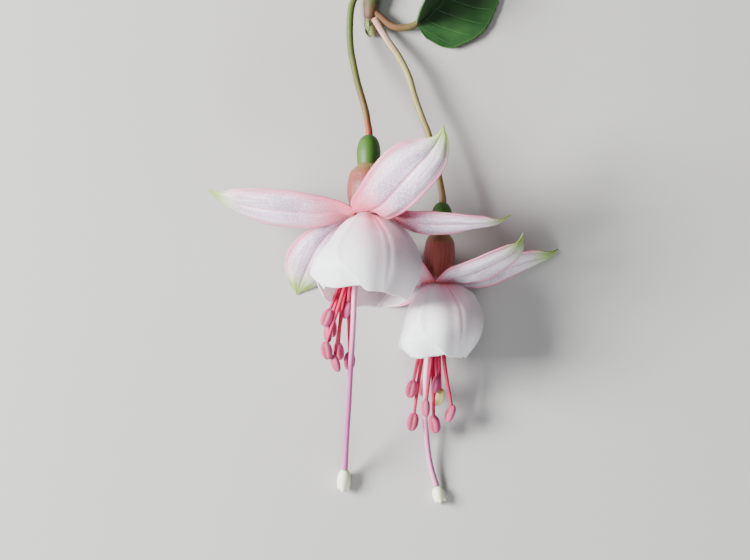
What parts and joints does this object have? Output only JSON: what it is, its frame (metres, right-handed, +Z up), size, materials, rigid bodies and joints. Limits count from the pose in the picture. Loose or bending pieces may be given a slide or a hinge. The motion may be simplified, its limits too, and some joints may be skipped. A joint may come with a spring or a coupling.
{
  "type": "fuchsia flower spray",
  "caption": "Cut tip of a trailing fuchsia laid on a surface: open blooms with spreading sepals, white corollas and long styles, hanging from a leafy stem end.",
  "frame": {"origin": "on the surface that the spray lies on, under the middle of its whole length and width", "axes": "+Z up from the surface, +Y along the stem towards its cut end, +X to the right seen from above with the cut end at the top"},
  "size_m": [0.0915, 0.1498, 0.0402],
  "materials": {
    "stem_bark": "satin green to brown bark with lenticels and fine hairs",
    "young_leaf": "pale green, finely hairy",
    "leaf_stalk": "satin, brown-pink to green",
    "leaf_green": "satin dark green with paler veins and margin",
    "pedicel": "satin, olive to orange-brown and pink",
    "ovary": "glossy bright green",
    "sepal": "crystalline satin, blush with rose margins and green tips",
    "petal": "soft satin white with rose veins at the foot",
    "stamen": "satin crimson-pink filaments with mauve-pink anthers",
    "style": "satin pale mauve-pink",
    "stigma": "moist satin cream-green"
  },
  "bodies": {
    "root": {"stem": "stem_bark", "terminal_bud": "young_leaf", "leaf_stalk": "leaf_stalk", "leaf_blade": "leaf_green", "left_pedicel": "pedicel", "left_ovary": "ovary", "left_calyx": "sepal", "left_corolla": "petal", "left_stamens": "stamen", "left_style": "style", "left_stigma": "stigma", "right_pedicel": "pedicel", "right_ovary": "ovary", "right_calyx": "sepal", "right_corolla": "petal", "right_stamens": "stamen", "right_style": "style", "right_stigma": "stigma"}
  },
  "joints": []
}
